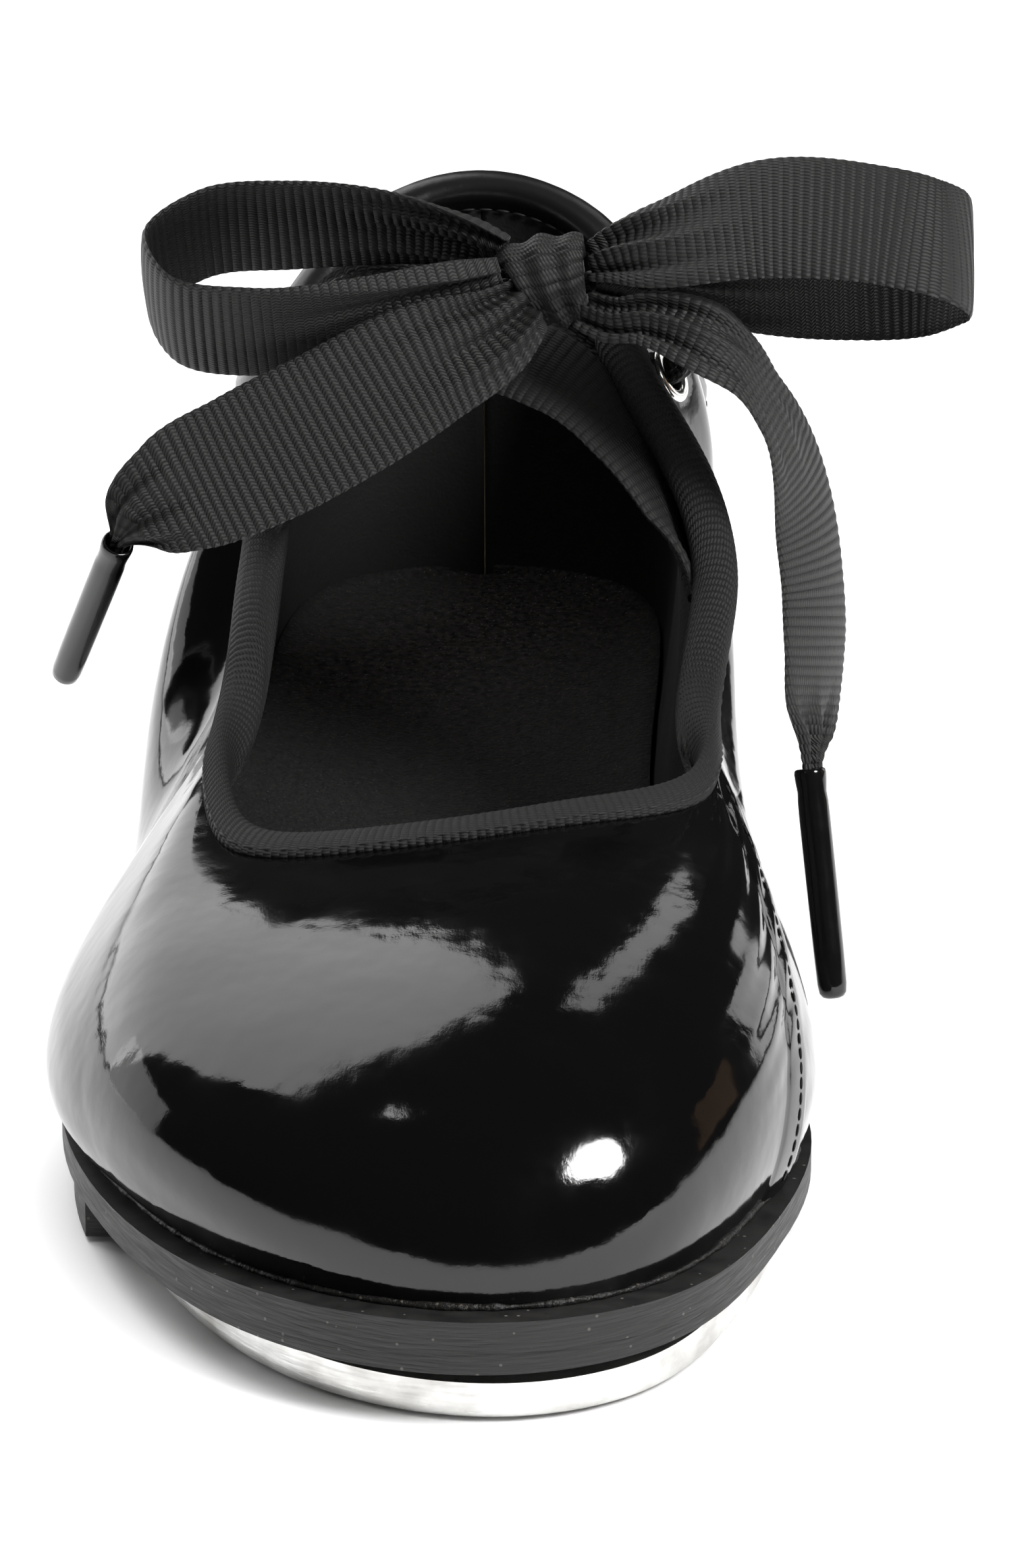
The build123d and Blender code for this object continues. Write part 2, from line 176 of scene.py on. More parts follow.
def group(name, inputs, outputs):
    """Empty shader group with named sockets; returns it with its two end nodes."""
    g = bpy.data.node_groups.new(name, "ShaderNodeTree")
    for label, kind, value in inputs:
        s = g.interface.new_socket(label, in_out="INPUT", socket_type=kind)
        if value is not None:
            s.default_value = value
    for label, kind in outputs:
        g.interface.new_socket(label, in_out="OUTPUT", socket_type=kind)
    return g, g.nodes.new("NodeGroupInput"), g.nodes.new("NodeGroupOutput")


def sums(g, kind, a, b=None, c=None):
    """Math node inside a group; each operand is a socket or a number."""
    n = g.nodes.new("ShaderNodeMath")
    n.operation = kind
    for i, v in enumerate((a, b, c)):
        if v is None:
            continue
        if hasattr(v, "is_output"):
            g.links.new(v, n.inputs[i])
        else:
            n.inputs[i].default_value = v
    return n.outputs[0]


# Grosgrain: a warp-faced weave. Ribs run across the strip; over each rib the fine warp
# threads pass side by side, and every other rib is shifted by one thread.
weave, wi, wo = group("grosgrain_weave", [("UV", "NodeSocketVector", None),
                                          ("Rib", "NodeSocketFloat", .001),
                                          ("Thread", "NodeSocketFloat", .0004)],
                      [("Height", "NodeSocketFloat"), ("Mask", "NodeSocketFloat")])
split = weave.nodes.new("ShaderNodeSeparateXYZ")
weave.links.new(wi.outputs["UV"], split.inputs[0])
u = sums(weave, "DIVIDE", split.outputs[0], wi.outputs["Rib"])
rib = sums(weave, "ABSOLUTE", sums(weave, "SINE", sums(weave, "MULTIPLY", u, math.pi)))
shift = sums(weave, "MULTIPLY", sums(weave, "MODULO", sums(weave, "FLOOR", u), 2.0), .5)
v = sums(weave, "ADD", sums(weave, "DIVIDE", split.outputs[1], wi.outputs["Thread"]), shift)
yarn = sums(weave, "ABSOLUTE", sums(weave, "SINE", sums(weave, "MULTIPLY", v, math.pi)))
weave.links.new(sums(weave, "ADD", sums(weave, "MULTIPLY", rib, .7),
                     sums(weave, "MULTIPLY", yarn, .3)), wo.inputs["Height"])
# Mask: rib height times thread height, highest on the thread crests. It drives painted sheen on the
# crests and painted shade in the hollows.
weave.links.new(sums(weave, "MULTIPLY", rib, yarn), wo.inputs["Mask"])

# Dust and lint: sparse pale flecks on dark cloth and rubber.
lint, li, lo = group("lint", [("Vector", "NodeSocketVector", None),
                              ("Scale", "NodeSocketFloat", 900.0),
                              ("Amount", "NodeSocketFloat", .06)],
                     [("Mask", "NodeSocketFloat")])
cell = lint.nodes.new("ShaderNodeTexVoronoi")
lint.links.new(li.outputs["Vector"], cell.inputs["Vector"])
lint.links.new(li.outputs["Scale"], cell.inputs["Scale"])
lint.links.new(sums(lint, "LESS_THAN", cell.outputs["Distance"], li.outputs["Amount"]),
               lo.inputs["Mask"])


def add_lint(finish, base, pale, scale=900.0, amount=.12):
    n = finish.node("Group", node_tree=lint)
    finish.tree.links.new(finish.place(), n.inputs["Vector"])
    n.inputs["Scale"].default_value, n.inputs["Amount"].default_value = scale, amount
    m = finish.node("Mix", {0: n.outputs["Mask"]}, data_type="RGBA")
    if hasattr(base, "is_output"):
        finish.tree.links.new(base, m.inputs[6])
    else:
        m.inputs[6].default_value = (*base, 1)
    m.inputs[7].default_value = (*pale, 1)
    finish.put("Base Color", m.outputs[2])


# ---- taps, spacer boards and screws ----------------------------------------------------
# Cast aluminium plates, one under the toe and one under the heel, screwed up through black
# fibre boards. The walking edge is rounded and rubbed; the casting is mottled grey.
tap = Finish("worn_aluminium", (.72, .71, .69), .34, Metallic=1.0)
blotch = tap.noise(120, 6)
tap.put("Base Color", tap.tint(tap.ramp(blotch, .36, .62, 0, 1), (.86, .86, .85), (.52, .51, .49)))
scuff = tap.stretched((1, 1, 9), 260, 4)
tap.put("Roughness", tap.ramp(scuff, .3, .7, .24, .52))
tap.bump(scuff, .25, .0002)
tap.use("toe_tap", "heel_tap")

screw = Finish("zinc_plate", (.62, .62, .60), .25, Metallic=1.0)
screw.put("Roughness", screw.ramp(screw.noise(700), .3, .7, .18, .42))
screw.use("toe_tap_screws", "heel_tap_screws")

fibre = Finish("black_fibre_board", (.004, .004, .004), .62)
add_lint(fibre, fibre.tint(fibre.noise(500), (.003, .003, .003), (.008, .0075, .007)), (.04, .037, .034))
fibre.bump(fibre.noise(1500), .4, .0001)
fibre.use("toe_tap_board", "heel_tap_board")

# ---- rubber: outsole, ball pad, heel block ---------------------------------------------
# Moulded black rubber. The sole's edge is buffed, which leaves fine level lines and dust.
rubber = Finish("buffed_rubber", (.006, .006, .006), .58)
lines = rubber.stretched((1, 1, 14), 240, 5)
add_lint(rubber, rubber.tint(rubber.ramp(lines, .35, .7, 0, 1), (.0045, .0043, .0042),
                             (.011, .0105, .010)), (.07, .065, .06), 620, .10)
rubber.put("Roughness", rubber.ramp(lines, .3, .7, .46, .70))
rubber.bump(lines, .5, .0003)
rubber.use("outsole", "heel_block", "ball_pad")

# ---- hidden parts of the bottom and the upper ------------------------------------------
# Filler foam, steel shank, fibre insole board, puff, counter and cloth backers.
foam = Finish("filler_foam", (.20, .17, .13), .9)
foam.bump(foam.noise(1800), .6, .0002)
foam.use("bottom_filler")
steel = Finish("shank_steel", (.42, .42, .43), .38, Metallic=1.0)
steel.put("Roughness", steel.ramp(steel.noise(300), .3, .7, .28, .5))
steel.use("shank")
board = Finish("insole_fibre", (.40, .32, .22), .85)
board.put("Base Color", board.tint(board.noise(700), (.36, .28, .19), (.46, .38, .28)))
board.use("insole_board", "toe_puff", "heel_counter")
backer = Finish("backer_cloth", (.55, .52, .47), .9)
backer.bump(backer.noise(2200), .5, .0001)
backer.use("vamp_backer", "lateral_eyelet_stay", "medial_eyelet_stay")


# ---- shape of the upper ----------------------------------------------------------------
# The leather is pulled over a last: its outer face is a cubic from the feather line, where it
# meets the sole, up to the topline of throat, tabs and collar. Stations run round the shoe from
# the toe along the lateral side to the heel at one half and back along the medial side.
EDGE = [(8, -155.8), (-12, -150.2), (-27.8, -131), (-36.2, -104), (-35, -76), (-29, -42),
        (-24.5, -10), (-18.5, 12), (0, 20), (18.5, 12), (23, -10), (22.5, -42),
        (28, -74), (36.3, -108), (32.4, -131), (22.8, -149)]
LEDGE = [(-150, 3.2), (-128, 2.6), (-104, .6), (-60, .4)]
PROFILE = [(-170, 11.9), (-155.5, 11.1), (-132, 9.5), (-104, 9), (-75, 9.6),
           (-42, 13), (-10, 17.5), (12, 18.5), (40, 18.5)]
TOPLINE = [(0, 5.3, -98.5, 37.3), (.04, -6.5, -99, 35.7), (.07, -16.5, -98, 35),
           (.095, -20.2, -92.5, 35.9), (.125, -21.6, -83, 38.2), (.16, -21.6, -72, 41.1),
           (.20, -21.3, -62, 46.7), (.25, -19.6, -53, 56), (.275, -15.8, -47, 66),
           (.295, -10.5, -42, 70.5), (.315, -13, -35, 69.5), (.345, -20, -29, 63),
           (.38, -24, -21, 57.5), (.42, -22.5, -5, 58), (.46, -14, 10, 66), (.5, 0, 15, 70),
           (.54, 14, 10, 66), (.58, 22, -5, 58), (.62, 24.5, -21, 57.5), (.655, 23.5, -29, 62),
           (.685, 20.5, -35.5, 69), (.705, 16, -42, 70.5), (.725, 20, -48, 64.5),
           (.75, 25.2, -53.5, 57.4), (.775, 27.4, -58.5, 51.4), (.80, 27.4, -63, 47.2),
           (.84, 26.1, -71.5, 41.6), (.88, 25.7, -81, 39.5), (.91, 24.3, -89, 38.3),
           (.935, 20, -94, 38.3), (.965, 13.7, -96.8, 38.2)]
FULLNESS = [(0, 1.3, 14.8, .5, -36, -1), (.08, 9, 13.1, -10.6, -25, -3),
            (.16, 11.3, 11.2, -.4, -8, -8), (.25, -2.4, 19.7, -4.4, -2, -14),
            (.295, 4, 22, -16, 2, -12), (.34, 3, 18, -7, 0, -14), (.42, 2, 16, -3, 1, -12),
            (.5, 1, 20, 0, 5, -16), (.58, 2, 16, 3, 1, -12), (.66, 3, 18, 4, 0, -14),
            (.705, 3, 22, 12, 1, -11), (.75, .7, 20, 5.6, -2, -14), (.84, 5.3, 11.1, -.5, -8, -9),
            (.92, 4.9, 13, 9.2, -26, -4)]
SEAM = .885           # station of the medial seam
LEATHER = 1.1         # millimetres, as are the next two
LINING_FROM = 1.94    # depth of the lining's outer face
WALL = 2.54           # depth of its inner face
HEIGHT_STEP = 2       # spacing of the side profile's samples


def ring(stations, values):
    """Closed cubic curve of period 1: slopes solve the smoothest-spline equations."""
    s, v, n = np.array(stations, float), np.array(values, float), len(stations)
    h = np.diff(np.append(s, s[0] + 1))
    a, b = np.zeros((n, n)), np.zeros(v.shape)
    for i in range(n):
        j, k = i - 1, (i + 1) % n
        a[i, j] += 1 / h[j]
        a[i, i] += 2 / h[j] + 2 / h[i]
        a[i, k] += 1 / h[i]
        b[i] = 3 * ((v[i] - v[j]) / h[j] ** 2 + (v[k] - v[i]) / h[i] ** 2)
    m = np.linalg.solve(a, b)

    def curve(q):
        q = np.asarray(q, float) % 1
        i = np.searchsorted(s, q, side="right") - 1
        w, k = h[i][..., None], (i + 1) % n
        t = (q - s[i])[..., None] / w
        return ((2 * t**3 - 3 * t**2 + 1) * v[i] + (t**3 - 2 * t**2 + t) * w * m[i]
                + (3 * t**2 - 2 * t**3) * v[k] + (t**3 - t**2) * w * m[k])
    return curve


def by_length(points):
    """The same curve with its station running with length, the heel at one half."""
    p = np.array(points, float)
    d = np.linalg.norm(np.diff(np.vstack([p, p[:1]]), axis=0), axis=1)
    raw = ring(np.concatenate([[0], np.cumsum(d)[:-1]]) / d.sum(), p)
    q = np.linspace(0, 1, 2001)
    c = raw(q)
    run = np.concatenate([[0], np.cumsum(np.linalg.norm(np.diff(c[:, :2], axis=0), axis=1))])
    run /= run[-1]
    heel = run[np.argmax(c[:, 1])]
    run = np.where(run < heel, run / heel * .5, .5 + (run - heel) / (1 - heel) * .5)
    return lambda x: raw(np.interp(np.asarray(x, float) % 1, run, q))


plan = by_length(EDGE)
topline = ring([k[0] for k in TOPLINE], [k[1:] for k in TOPLINE])
fullness = ring([k[0] for k in FULLNESS], [k[1:] for k in FULLNESS])


def unit(x):
    return x / np.maximum(np.linalg.norm(x, axis=-1, keepdims=True), 1e-12)


def height(y):
    """Height of the sole's top face: the side profile smoothed over 28 mm."""
    x = np.arange(PROFILE[0][0], PROFILE[-1][0] + HEIGHT_STEP, HEIGHT_STEP)
    kernel = np.hanning(15)
    raw = np.interp(x, *np.array(PROFILE, float).T)
    soft = np.convolve(np.pad(raw, 7, mode="edge"), kernel / kernel.sum(), "valid")
    return np.interp(y, x, soft)


def edge(s):
    """Top edge of the sole."""
    p = plan(s)
    return np.concatenate([p, height(p[..., 1:]) + .1], -1)


def outward(s):
    """Level direction away from the outline: its tangent turned a quarter."""
    t = edge(s + 1e-4) - edge(s - 1e-4)
    return unit(np.stack([-t[..., 1], t[..., 0], 0 * t[..., 0]], -1))


def feather(s):
    """Foot of the upper, set back from the sole's edge by the ledge."""
    p = edge(s)
    p = p - outward(s) * np.interp(p[..., 1:2], *np.array(LEDGE, float).T)
    p[..., 2:] = height(p[..., 1:2]) + .1
    return p


def outer(s, t):
    """Outer face: cubic through the feather, two fullness points and the topline."""
    s, t = np.broadcast_arrays(np.asarray(s, float), np.asarray(t, float))
    p, q, w = feather(s), topline(s), fullness(s)
    low = p + outward(s) * w[..., :1]
    low[..., 2] += w[..., 1]
    high = q + w[..., 2:]
    t = t[..., None]
    return (1-t)**3 * p + 3*(1-t)**2*t * low + 3*(1-t)*t*t * high + t**3 * q


def frame_at(s, t):
    """Point, outward normal and upward direction on the outer face."""
    e = 1e-3
    along = outer(s + e, t) - outer(s - e, t)
    up = unit(outer(s, t) - outer(s, np.asarray(t) - e))
    return outer(s, t), unit(np.cross(up, along)), up


def inside(s, t, depth):
    p, n, _ = frame_at(s, t)
    return p - n * np.asarray(depth)[..., None]


def tube(name, rings, finish, body="shoe", caps=True, closed=False):
    """Skin over a grid of rings: quads between neighbouring rings, which are closed round;
    the first and last ring are capped by quads from side to side. Each ring lists one side
    forwards and the other side backwards. UV is length along and round, in metres."""
    r = np.asarray(rings, float) * MM
    n, k = r.shape[:2]
    i, j = np.meshgrid(np.arange(n if closed else n - 1), np.arange(k), indexing="ij")
    i2, j2 = (i + 1) % n, (j + 1) % k
    quads = np.stack([i*k + j, i*k + j2, i2*k + j2, i2*k + j], -1).reshape(-1, 4)
    long = np.concatenate([[0], np.cumsum(np.linalg.norm(np.diff(r.mean(1), axis=0), axis=1))])
    step = np.linalg.norm(np.diff(np.concatenate([r, r[:, :1]], 1), axis=1), axis=2)
    wide = np.concatenate([np.zeros((n, 1)), np.cumsum(step, 1)], 1)
    lu = np.append(long, 2 * long[-1] - long[-2])[np.stack([i, i, i+1, i+1], -1)]
    lv = np.stack([wide[i, j], wide[i, j+1], wide[i2, j+1], wide[i2, j]], -1)
    uv = np.stack([lu, lv], -1).reshape(-1, 2)
    if caps and not closed:
        a = np.arange(k // 2 - 1)
        cap = np.stack([a, k-1-a, k-2-a, a+1], -1)
        quads = np.concatenate([quads, cap, (cap + (n-1)*k)[:, ::-1]])
        uv = np.concatenate([uv, np.zeros((len(a) * 8, 2))])
    if not faces_out(r.reshape(-1, 3), quads):
        quads = quads[:, ::-1]
        uv = uv.reshape(-1, 4, 2)[:, ::-1].reshape(-1, 2)
    mesh = bpy.data.meshes.new(name)
    mesh.from_pydata(r.reshape(-1, 3), [], quads.tolist())
    mesh.uv_layers.new(name="UVMap").data.foreach_set("uv", np.ascontiguousarray(uv).ravel())
    mesh.polygons.foreach_set("use_smooth", np.ones(len(quads), bool))
    mesh.materials.append(finish.material)
    mesh.validate()
    piece = bpy.data.objects.new(name, mesh)
    bpy.context.scene.collection.objects.link(piece)
    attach(piece, body)
    return piece


def faces_out(points, quads):
    """True when the skin's signed volume is positive, so that its faces point outwards."""
    a, b, c, d = (points[quads[:, i]] for i in range(4))
    return np.sum(np.cross(b - a, c - a) * a + np.cross(c - a, d - a) * a) > 0


def slabs(outer_side, inner_side):
    """Ring grid from two matching grids: one side forwards, the other backwards."""
    return np.concatenate([outer_side, inner_side[:, ::-1]], 1)


def even(s0, s1, n, t=1.0):
    """Stations from s0 to s1 spaced evenly by length along the wall at height t."""
    q = np.linspace(s0, s1, 3000)
    d = np.concatenate([[0], np.cumsum(np.linalg.norm(np.diff(outer(q, t), axis=0), axis=1))])
    return np.interp(np.linspace(0, d[-1], n), d, q), d[-1]


# ---- vamp and medial quarter -----------------------------------------------------------
# Black patent leather, 1.1 mm. The vamp runs round the toe and the whole lateral side to the
# heel; the medial quarter is a second piece, and the vamp's edge is lapped over it and sewn.
patent = Finish("patent_leather", (.0015, .0014, .0014), .035, IOR=1.5)
broad, fine = patent.noise(75, 3), patent.noise(900, 4, rough=.65)
drag = patent.stretched((1, .22, 1), 1500, 3)
pebble = patent.node("Math", {0: fine, 1: .030, 2: broad}, operation="MULTIPLY_ADD").outputs[0]
ripple = patent.node("Math", {0: drag, 1: .016, 2: pebble}, operation="MULTIPLY_ADD").outputs[0]
patent.bump(ripple, .22, .0016)
patent.put("Roughness", patent.ramp(patent.noise(150, 4), .35, .7, .05, .13))


def wall(s, t_steps, lift, depth):
    """Both faces of a leather piece, its foot tucked in over the sole."""
    s, t = np.meshgrid(s, t_steps, indexing="ij")
    rise = lift(s, t)
    front, back = inside(s, t, -rise), inside(s, t, depth - rise)
    under = -outward(s[:, :1])
    tuck = [front[:, :1] + under * reach + np.array([0, 0, drop])
            for reach, drop in ((3.0, -.02), (.6, -.06), (.15, .0))]
    foot = back[:, :1] + under * 2 + np.array([0, 0, .4])
    return slabs(np.concatenate(tuck + [front], 1), np.concatenate([foot] * len(tuck) + [back], 1))


def lap(s, t):
    """Rise of the vamp's lapped edge, a 5 mm ramp up to the seam, with creases beside it."""
    near = np.clip((s - (SEAM - 1)) / .013, 0, 1)
    crease = np.exp(-((s - (SEAM - 1) - .02) / .02) ** 2) * np.sin(t * 58 + s * 260) * .10
    return .62 * (1 - near) ** .6 + crease * np.clip((t - .25) * 4, 0, 1) * (near > 0)


def pull(s, t):
    """Small drag lines running down from the seam in the quarter."""
    return np.exp(-((s - SEAM) / .02) ** 2) * np.sin(t * 50) * .07


rise_steps = np.linspace(0, 1, 90)
vamp_s = np.concatenate([SEAM - 1 + np.linspace(.0002, .013, 12),
                         np.linspace(SEAM - 1 + .014, .4995, 420)])
vamp = tube("vamp_leather", wall(vamp_s, rise_steps, lap, LEATHER), patent)
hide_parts("vamp")
quarter_s = np.linspace(.5005, SEAM + .004, 260)
quarter = tube("medial_quarter_leather", wall(quarter_s, rise_steps, pull, LEATHER), patent)
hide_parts("medial_quarter")

strip_s, strip_t = np.meshgrid(np.linspace(.484, .516, 14), np.linspace(.02, .95, 60), indexing="ij")
skived = 1 - np.clip(np.abs(strip_s - .5) / .016, 0, 1) ** 8
back_strip = tube("back_strip_leather", slabs(inside(strip_s, strip_t, -.15 - .75 * skived),
                  inside(strip_s, strip_t, -.05 + 0 * skived)), patent)
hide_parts("back_strip")

# Rough cement line squeezed out between upper and sole.
glue = Finish("squeezed_cement", (.006, .0055, .005), .5)
add_lint(glue, (.005, .0045, .004), (.05, .042, .034), 1300, .2)
glue.bump(glue.noise(1700, 4), .8, .0004)
BEAD_STEPS = 1200
bead_s = np.linspace(0, 1, BEAD_STEPS, endpoint=False)
rng = np.random.default_rng(4)
soft = np.hanning(9) / np.hanning(9).sum()
lumps = np.convolve(np.tile(rng.random(BEAD_STEPS), 3), soft, "same")[BEAD_STEPS:2 * BEAD_STEPS]
angle = np.linspace(0, 2 * np.pi, 8, endpoint=False)
middle = feather(bead_s) + outward(bead_s) * .05 + np.array([0, 0, .12])
bead = (middle[:, None] + (outward(bead_s)[:, None] * np.cos(angle)[:, None]
        + np.array([0, 0, 1.]) * np.sin(angle)[:, None]) * (.16 + .62 * (lumps - .2)[:, None, None]))
tube("cement_line", bead, glue, caps=False, closed=True)

# ---- linings and sock liner ------------------------------------------------------------
# Black brushed cloth glued inside the leather, in three pieces, over a napped sock liner.
lining = Finish("brushed_lining", (.003, .0026, .0025), .88)
add_lint(lining, lining.tint(lining.noise(900, 4), (.002, .0018, .0017), (.005, .0045, .0042)),
         (.014, .012, .011), 1500, .1)
lining.bump(lining.noise(2600, 3), .5, .0002)


def cloth_wall(name, s0, s1, n, node):
    """Thin wall from s0 to s1, thicker in a padded band below the collar, gently quilted."""
    s, t = np.meshgrid(np.linspace(s0, s1, n), np.linspace(.03, 1, 44), indexing="ij")
    pad = .5 * np.exp(-((t - .86) / .12) ** 2) * (np.abs(s - .5) < .17)
    slack = .25 * np.sin(s * 170) * np.sin(t * 7) * .3
    piece = tube(name, slabs(inside(s, t, WALL + pad + slack), inside(s, t, LINING_FROM + 0 * s)),
                 lining)
    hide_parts(node)


cloth_wall("vamp_lining_cloth", -.112, .118, 90, "vamp_lining")
cloth_wall("lateral_lining_cloth", .1185, .4998, 150, "lateral_quarter_lining")
cloth_wall("medial_lining_cloth", .5002, .8865, 150, "medial_quarter_lining")

nap = Finish("napped_sock", (.003, .0028, .0027), .95)
add_lint(nap, nap.tint(nap.ramp(nap.noise(1400, 5, rough=.7), .35, .65, 0, 1), (.0015, .0014, .0014),
                       (.010, .009, .0085)), (.035, .032, .03), 1700, .14)
nap.bump(nap.noise(2400, 4), .9, .0004)
SOCK_ABOVE, SOCK_THICK = 4.42, 1.3      # millimetres above the outsole, and through the sock
rim_s = np.linspace(0, 1, 4001)
rim = (feather(rim_s) - outward(rim_s) * 2.3)[:, :2]
first, last = sorted((np.argmin(rim[:, 1]), np.argmax(rim[:, 1])))
halves = sorted((rim[first:last], np.concatenate([rim[last:], rim[:first]])),
                key=lambda half: half[:, 0].mean())
y0, y1 = rim[:, 1].min() + .02, rim[:, 1].max() - .02
sock_y = (y0 + y1) / 2 - (y1 - y0) / 2 * np.cos(np.linspace(0, np.pi, 130))
from_x, to_x = (np.interp(sock_y, *half[np.argsort(half[:, 1])].T[::-1]) for half in halves)
across = np.linspace(0, 1, 26)
sock_x = from_x[:, None] + (to_x - from_x)[:, None] * across
cup = 1.2 * np.abs(2 * across - 1) ** 5
top = np.stack([sock_x, np.repeat(sock_y[:, None], len(across), 1),
                height(sock_y)[:, None] + SOCK_ABOVE + cup[None]], -1)
sock = tube("sock_liner_nap", slabs(top, top - np.array([0, 0, SOCK_THICK])), nap)
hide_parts("sock_liner")

# ---- throat binding and collar edge ----------------------------------------------------
# The throat and tabs are bound with a folded grosgrain tape, ribs across it, sewn near its
# outer edge. The collar's edge is leather turned over a cord, sewn below the roll.
tape = Finish("binding_grosgrain", (.004, .004, .004), .72)


def weave_on(finish, rib_pitch, thread, dark, light, depth):
    """Puts the grosgrain weave on a finish: pitches in metres along and across the strip. The colour runs
    from dark in the weave's hollows to light on its crests: painted shade and painted sheen.
    """
    n = finish.node("Group", node_tree=weave)
    finish.tree.links.new(finish.place("UV"), n.inputs["UV"])
    n.inputs["Rib"].default_value, n.inputs["Thread"].default_value = rib_pitch, thread
    # Painted shade in the weave's hollows and painted sheen on its thread crests, with the real lint
    # flecks added on top.
    add_lint(finish, finish.tint(n.outputs["Mask"], dark, light), (.03, .028, .026), 1500, .08)
    finish.bump(n.outputs["Height"], .8, depth)


# Weave colours: painted shade for the hollows, painted sheen for the crests.
weave_on(tape, .0008, .00035, (.0015, .0014, .0014), (.0085, .008, .0078), .00022)


def wall_reach(s):
    """Length of the wall in millimetres that its slope at the topline stands for."""
    return np.linalg.norm(outer(s, 1.0) - outer(s, .98), axis=-1) / .02


def edging(name, s0, s1, profile, pitch, depth, finish, node):
    """Folded strip along the topline: a profile of (outward, upward) millimetres follows the
    wall below the edge; ribs rise and fall by depth with the given pitch."""
    _, whole = even(s0, s1, 8)
    s, _ = even(s0, s1, int(whole / pitch * 4))
    prof = np.array(profile, float)
    reach = wall_reach(s)
    out, up = prof[:, 0][None], prof[:, 1][None]
    t = 1 + np.minimum(up, 0) / reach[:, None]
    c, n, m = frame_at(s[:, None] + 0 * t, t)
    wave = depth * np.abs(np.sin(np.pi * np.linspace(0, whole / pitch, len(s))))[:, None]
    normal = unit(np.gradient(prof, axis=0) @ np.array([[0, -1], [1, 0.]]))
    normal = np.where(np.sum(normal * (prof - prof.mean(0)), -1, keepdims=True) < 0, -normal, normal)
    o2, u2 = normal[:, 0] * wave, normal[:, 1] * wave
    skin = c + n * (out + o2)[..., None] + m * (np.maximum(up, 0) + u2)[..., None]
    core = prof - normal * .45
    raised = (core[:, 1] * (prof[:, 1] > 0))[None, :, None]
    back = c + n * (core[:, 0] + 0 * out)[..., None] + m * raised
    piece = tube(name, slabs(skin, back), finish)
    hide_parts(node)


FOLD = [(.10, -4.3), (.42, -4.15), (.66, -3.6), (.88, -2.6), (.98, -1.5), (.92, -.5), (.55, .42),
        (-.2, .95), (-1.3, 1.1), (-2.3, .9), (-3.05, .35), (-3.4, -.5), (-3.5, -1.6), (-3.4, -2.8),
        (-3.2, -3.6), (-2.9, -3.8)]
edging("throat_tape", -.3005, .3005, FOLD, .80, .09, tape, "throat_binding")

soft_edge = Finish("turned_collar", (.003, .003, .003), .33)
soft_edge.bump(soft_edge.noise(1500, 3), .3, .0001)
ROLL = [(.10, -3.2), (.30, -2.9), (.34, -2.2), (.52, -1.4), (.62, -.6), (.38, .4), (-.3, .95),
        (-1.3, 1.1), (-2.3, .85), (-3.0, .2), (-3.25, -.7), (-3.1, -1.6), (-2.9, -2.4), (-2.75, -3.0)]
edging("collar_roll", .3015, .6985, ROLL, 2.5, .012, soft_edge, "collar_binding")

# Lockstitch rows: short thread lengths lying along the binding, the seam and the collar.
thread = Finish("black_thread", (.004, .004, .004), .6)
thread.bump(thread.noise(3000), .4, .0001)


def stitches(name, centre, normal, pitch, length, size):
    """One row of rounded stitches: each is a six-sided spindle lying along the line."""
    d = np.concatenate([[0], np.cumsum(np.linalg.norm(np.diff(centre, axis=0), axis=1))])
    mid = np.arange(pitch, d[-1] - pitch, pitch)

    def at(q, line=centre):
        return np.stack([np.interp(q, d, line[:, i]) for i in range(3)], -1)

    out = unit(at(mid, normal))
    run = unit(at(mid + .2) - at(mid - .2))
    side = np.cross(out, run)
    rings, sides = 5, 6
    k = np.linspace(-1, 1, rings)
    a = np.linspace(0, 2 * np.pi, sides, endpoint=False)
    fat = np.sqrt(np.maximum(1 - k ** 2, .03)) * size
    p = (at(mid)[:, None, None] + run[:, None, None] * (k * length / 2)[None, :, None, None]
         + (side[:, None, None] * np.cos(a)[None, None, :, None]
            + out[:, None, None] * np.sin(a)[None, None, :, None]) * fat[None, :, None, None])
    i, j = np.meshgrid(np.arange(rings - 1), np.arange(sides), indexing="ij")
    j2 = (j + 1) % sides
    q = np.stack([i * sides + j, i * sides + j2, (i + 1) * sides + j2, (i + 1) * sides + j], -1)
    first = (np.arange(len(mid)) * rings * sides)[:, None, None]
    faces = (q.reshape(-1, 4)[None] + first).reshape(-1, 4)
    ends = np.stack([np.arange(sides)[::-1], np.arange(sides) + (rings - 1) * sides])
    caps = (ends[None] + first).reshape(-1, sides)
    mesh = bpy.data.meshes.new(name)
    mesh.from_pydata((p.reshape(-1, 3) * MM), [], faces.tolist() + caps.tolist())
    mesh.polygons.foreach_set("use_smooth", np.ones(len(mesh.polygons), bool))
    mesh.materials.append(thread.material)
    mesh.validate()
    piece = bpy.data.objects.new(name, mesh)
    bpy.context.scene.collection.objects.link(piece)
    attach(piece, "shoe")


def wall_row(name, s, t, depth, pitch=1.9, length=1.5, size=.17):
    c, n, _ = frame_at(s, t)
    stitches(name, c - n * depth, n, pitch, length, size)


def below_edge(s, drop):
    """Height along the wall of the points that lie drop millimetres below the topline."""
    return 1 - drop / wall_reach(s)


tape_s, _ = even(-.296, .296, 1500)
wall_row("tape_stitches", tape_s, below_edge(tape_s, 3.75), -.62)
seam_t = np.linspace(.02, .93, 400)
wall_row("seam_stitches", SEAM - 1 + .0046 + 0 * seam_t, seam_t, -.52, 1.5, 1.25, .11)
collar_s, _ = even(.31, .69, 900)
wall_row("collar_stitches", collar_s, below_edge(collar_s, 2.6), -.34)
wall_row("collar_inner_stitches", collar_s, below_edge(collar_s, 2.4), WALL + .62)

